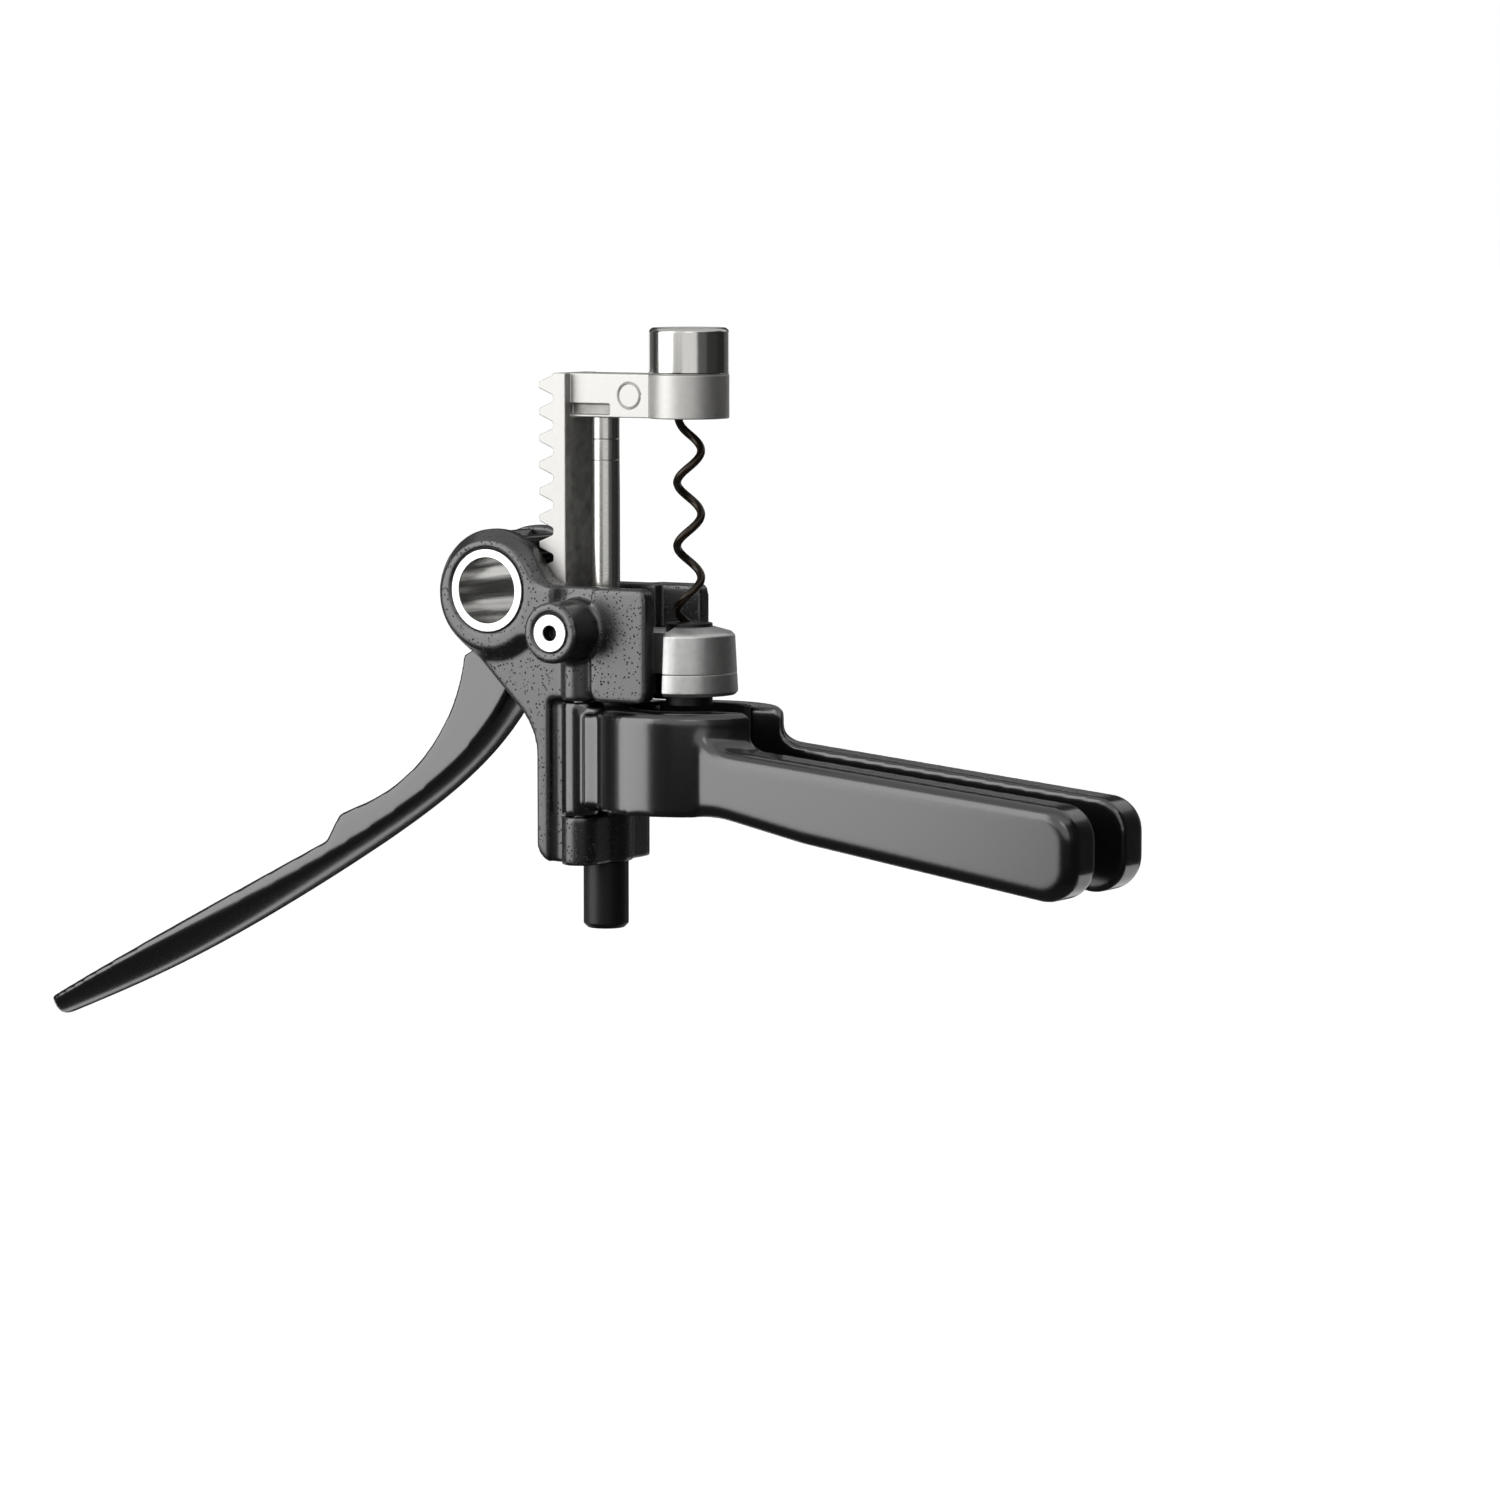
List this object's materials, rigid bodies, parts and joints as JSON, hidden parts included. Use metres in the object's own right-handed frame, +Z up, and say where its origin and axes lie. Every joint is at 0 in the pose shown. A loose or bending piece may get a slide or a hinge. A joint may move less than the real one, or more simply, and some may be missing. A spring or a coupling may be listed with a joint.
{
  "type": "lever corkscrew",
  "caption": "Lever corkscrew with clamp handles, a geared lever that drives a rack, and a turning worm that runs through a fixed nut.",
  "frame": {"origin": "on the worm's axis in the plane of the bottle's mouth, which is the top of the clamp jaws", "axes": "+Z up along the worm's axis, +X along the clamp handles, -Y towards the side with the latch"},
  "size_m": [0.332, 0.053, 0.1962],
  "materials": {
    "black_casting": "powder coated, fine speckle",
    "black_satin": "satin black lacquer",
    "silver_casting": "satin die casting",
    "cap_steel": "turned and polished",
    "axle_steel": "turned",
    "post_steel": "ground",
    "pin_steel": "plain",
    "bearing_bronze": "sintered",
    "worm_coating": "non-stick coating",
    "black_plastic": "moulded",
    "liner_rubber": "matt"
  },
  "bodies": {
    "frame": {"frame_casting": "black_casting", "axle_tube": "axle_steel", "axle_collar": "axle_steel", "hinge_pin_front": "pin_steel", "hinge_pin_rear": "pin_steel", "guide_tube": "black_plastic", "nut_carriage": "silver_casting", "nut_carriage_skirt": "silver_casting", "carriage_bush": "bearing_bronze", "drive_nut": "black_plastic", "latch_spring": "pin_steel", "latch_plug": "axle_steel"},
    "lever": {"lever": "black_satin"},
    "carrier": {"rack_carrier": "silver_casting", "guide_post": "post_steel", "post_collar_lower": "post_steel", "post_collar_upper": "post_steel", "post_screw": "pin_steel", "worm_bearing": "bearing_bronze", "thrust_washer": "pin_steel", "top_cap": "cap_steel"},
    "worm": {"worm": "worm_coating", "worm_spindle": "pin_steel"},
    "latch": {"latch_plunger": "pin_steel"},
    "front_handle": {"front_handle": "black_satin", "front_jaw_liner": "liner_rubber"},
    "rear_handle": {"rear_handle": "black_satin", "rear_jaw_liner": "liner_rubber"}
  },
  "joints": [
    {"name": "lever_swing", "type": "hinge", "parent": "frame", "child": "lever", "pos_m": [-0.0534, 0, 0.0299], "axis": [0, 1, 0], "range_deg": [0, 212.2]},
    {"name": "carrier_slide", "type": "slide", "parent": "frame", "child": "carrier", "axis": [0, 0, -1], "range_m": [0, 0.0501]},
    {"name": "worm_spin", "type": "hinge", "parent": "carrier", "child": "worm", "pos_m": [0, 0, 0.08], "axis": [0, 0, -1], "range_deg": [0, 1078]},
    {"name": "latch_press", "type": "slide", "parent": "frame", "child": "latch", "axis": [0, -1, 0], "range_m": [0, 0.0016], "stiffness_N_per_m": 1500, "deforming": ["latch_spring"]},
    {"name": "front_handle_swing", "type": "hinge", "parent": "frame", "child": "front_handle", "pos_m": [-0.026, -0.0128, 0], "axis": [0, 0, -1], "range_deg": [0, 35]},
    {"name": "rear_handle_swing", "type": "hinge", "parent": "frame", "child": "rear_handle", "pos_m": [-0.026, 0.0128, 0], "axis": [0, 0, 1], "range_deg": [0, 35]}
  ],
  "couplings": [
    {"joint": "carrier_slide", "follows": "lever_swing", "m_per_rad": 0.0135},
    {"joint": "worm_spin", "follows": "lever_swing", "ratio": 5.0641}
  ]
}
